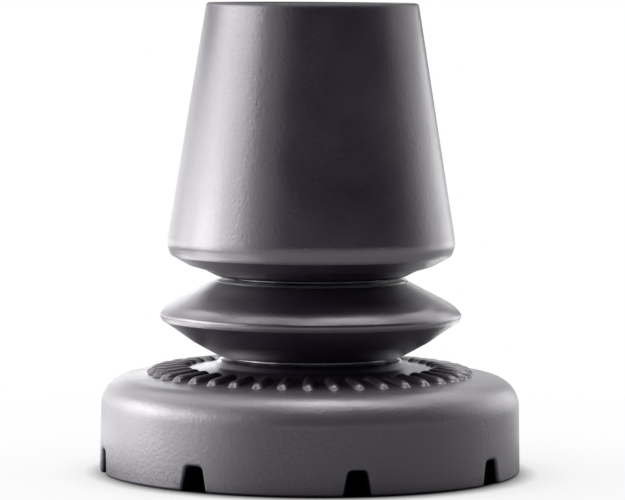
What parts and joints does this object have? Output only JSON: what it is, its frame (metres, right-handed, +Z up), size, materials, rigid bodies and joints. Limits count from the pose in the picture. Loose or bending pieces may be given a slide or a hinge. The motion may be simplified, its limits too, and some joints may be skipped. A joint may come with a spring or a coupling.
{
  "type": "rubber cane tip",
  "caption": "Black rubber cane tip moulded in one piece: a flared socket cup, a bellows fold that lets the foot tilt, and a broad round base with a grooved tread.",
  "frame": {"origin": "middle of the tread, in the plane of the floor", "axes": "+Z up along the axis of the socket; one tread channel runs out along +X"},
  "size_m": [0.0502, 0.0502, 0.0561],
  "materials": {
    "rubber": "moulded black rubber, semi-gloss, with a fine pitted grain"
  },
  "bodies": {
    "root": {"rubber_tip": "rubber"}
  },
  "joints": []
}
